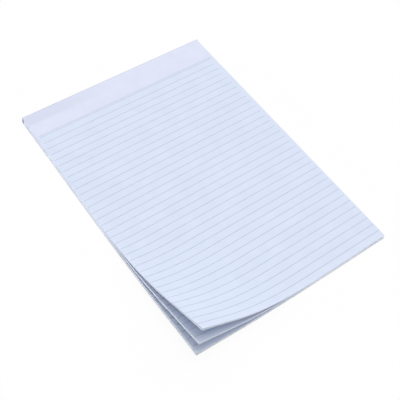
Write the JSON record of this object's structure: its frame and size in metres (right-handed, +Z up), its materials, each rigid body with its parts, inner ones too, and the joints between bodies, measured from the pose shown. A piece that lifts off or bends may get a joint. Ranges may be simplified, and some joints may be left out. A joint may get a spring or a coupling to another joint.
{
  "type": "legal pad",
  "caption": "Thin ruled writing pad glued along its head edge onto a grey backing board, with the sheets of one foot corner curled up in separate leaves.",
  "frame": {"origin": "centre of the pad's footprint, on the underside of the backing board", "axes": "+Y towards the glued head edge, +X to the right across the width, +Z up out of the top sheet"},
  "size_m": [0.2106, 0.2976, 0.0422],
  "materials": {
    "board": "matte grey card",
    "paper": "uncoated white writing paper",
    "glue": "dried padding glue, satin"
  },
  "bodies": {
    "root": {"backing_board": "board", "page_block": "paper", "binding_glue": "glue"}
  },
  "joints": []
}
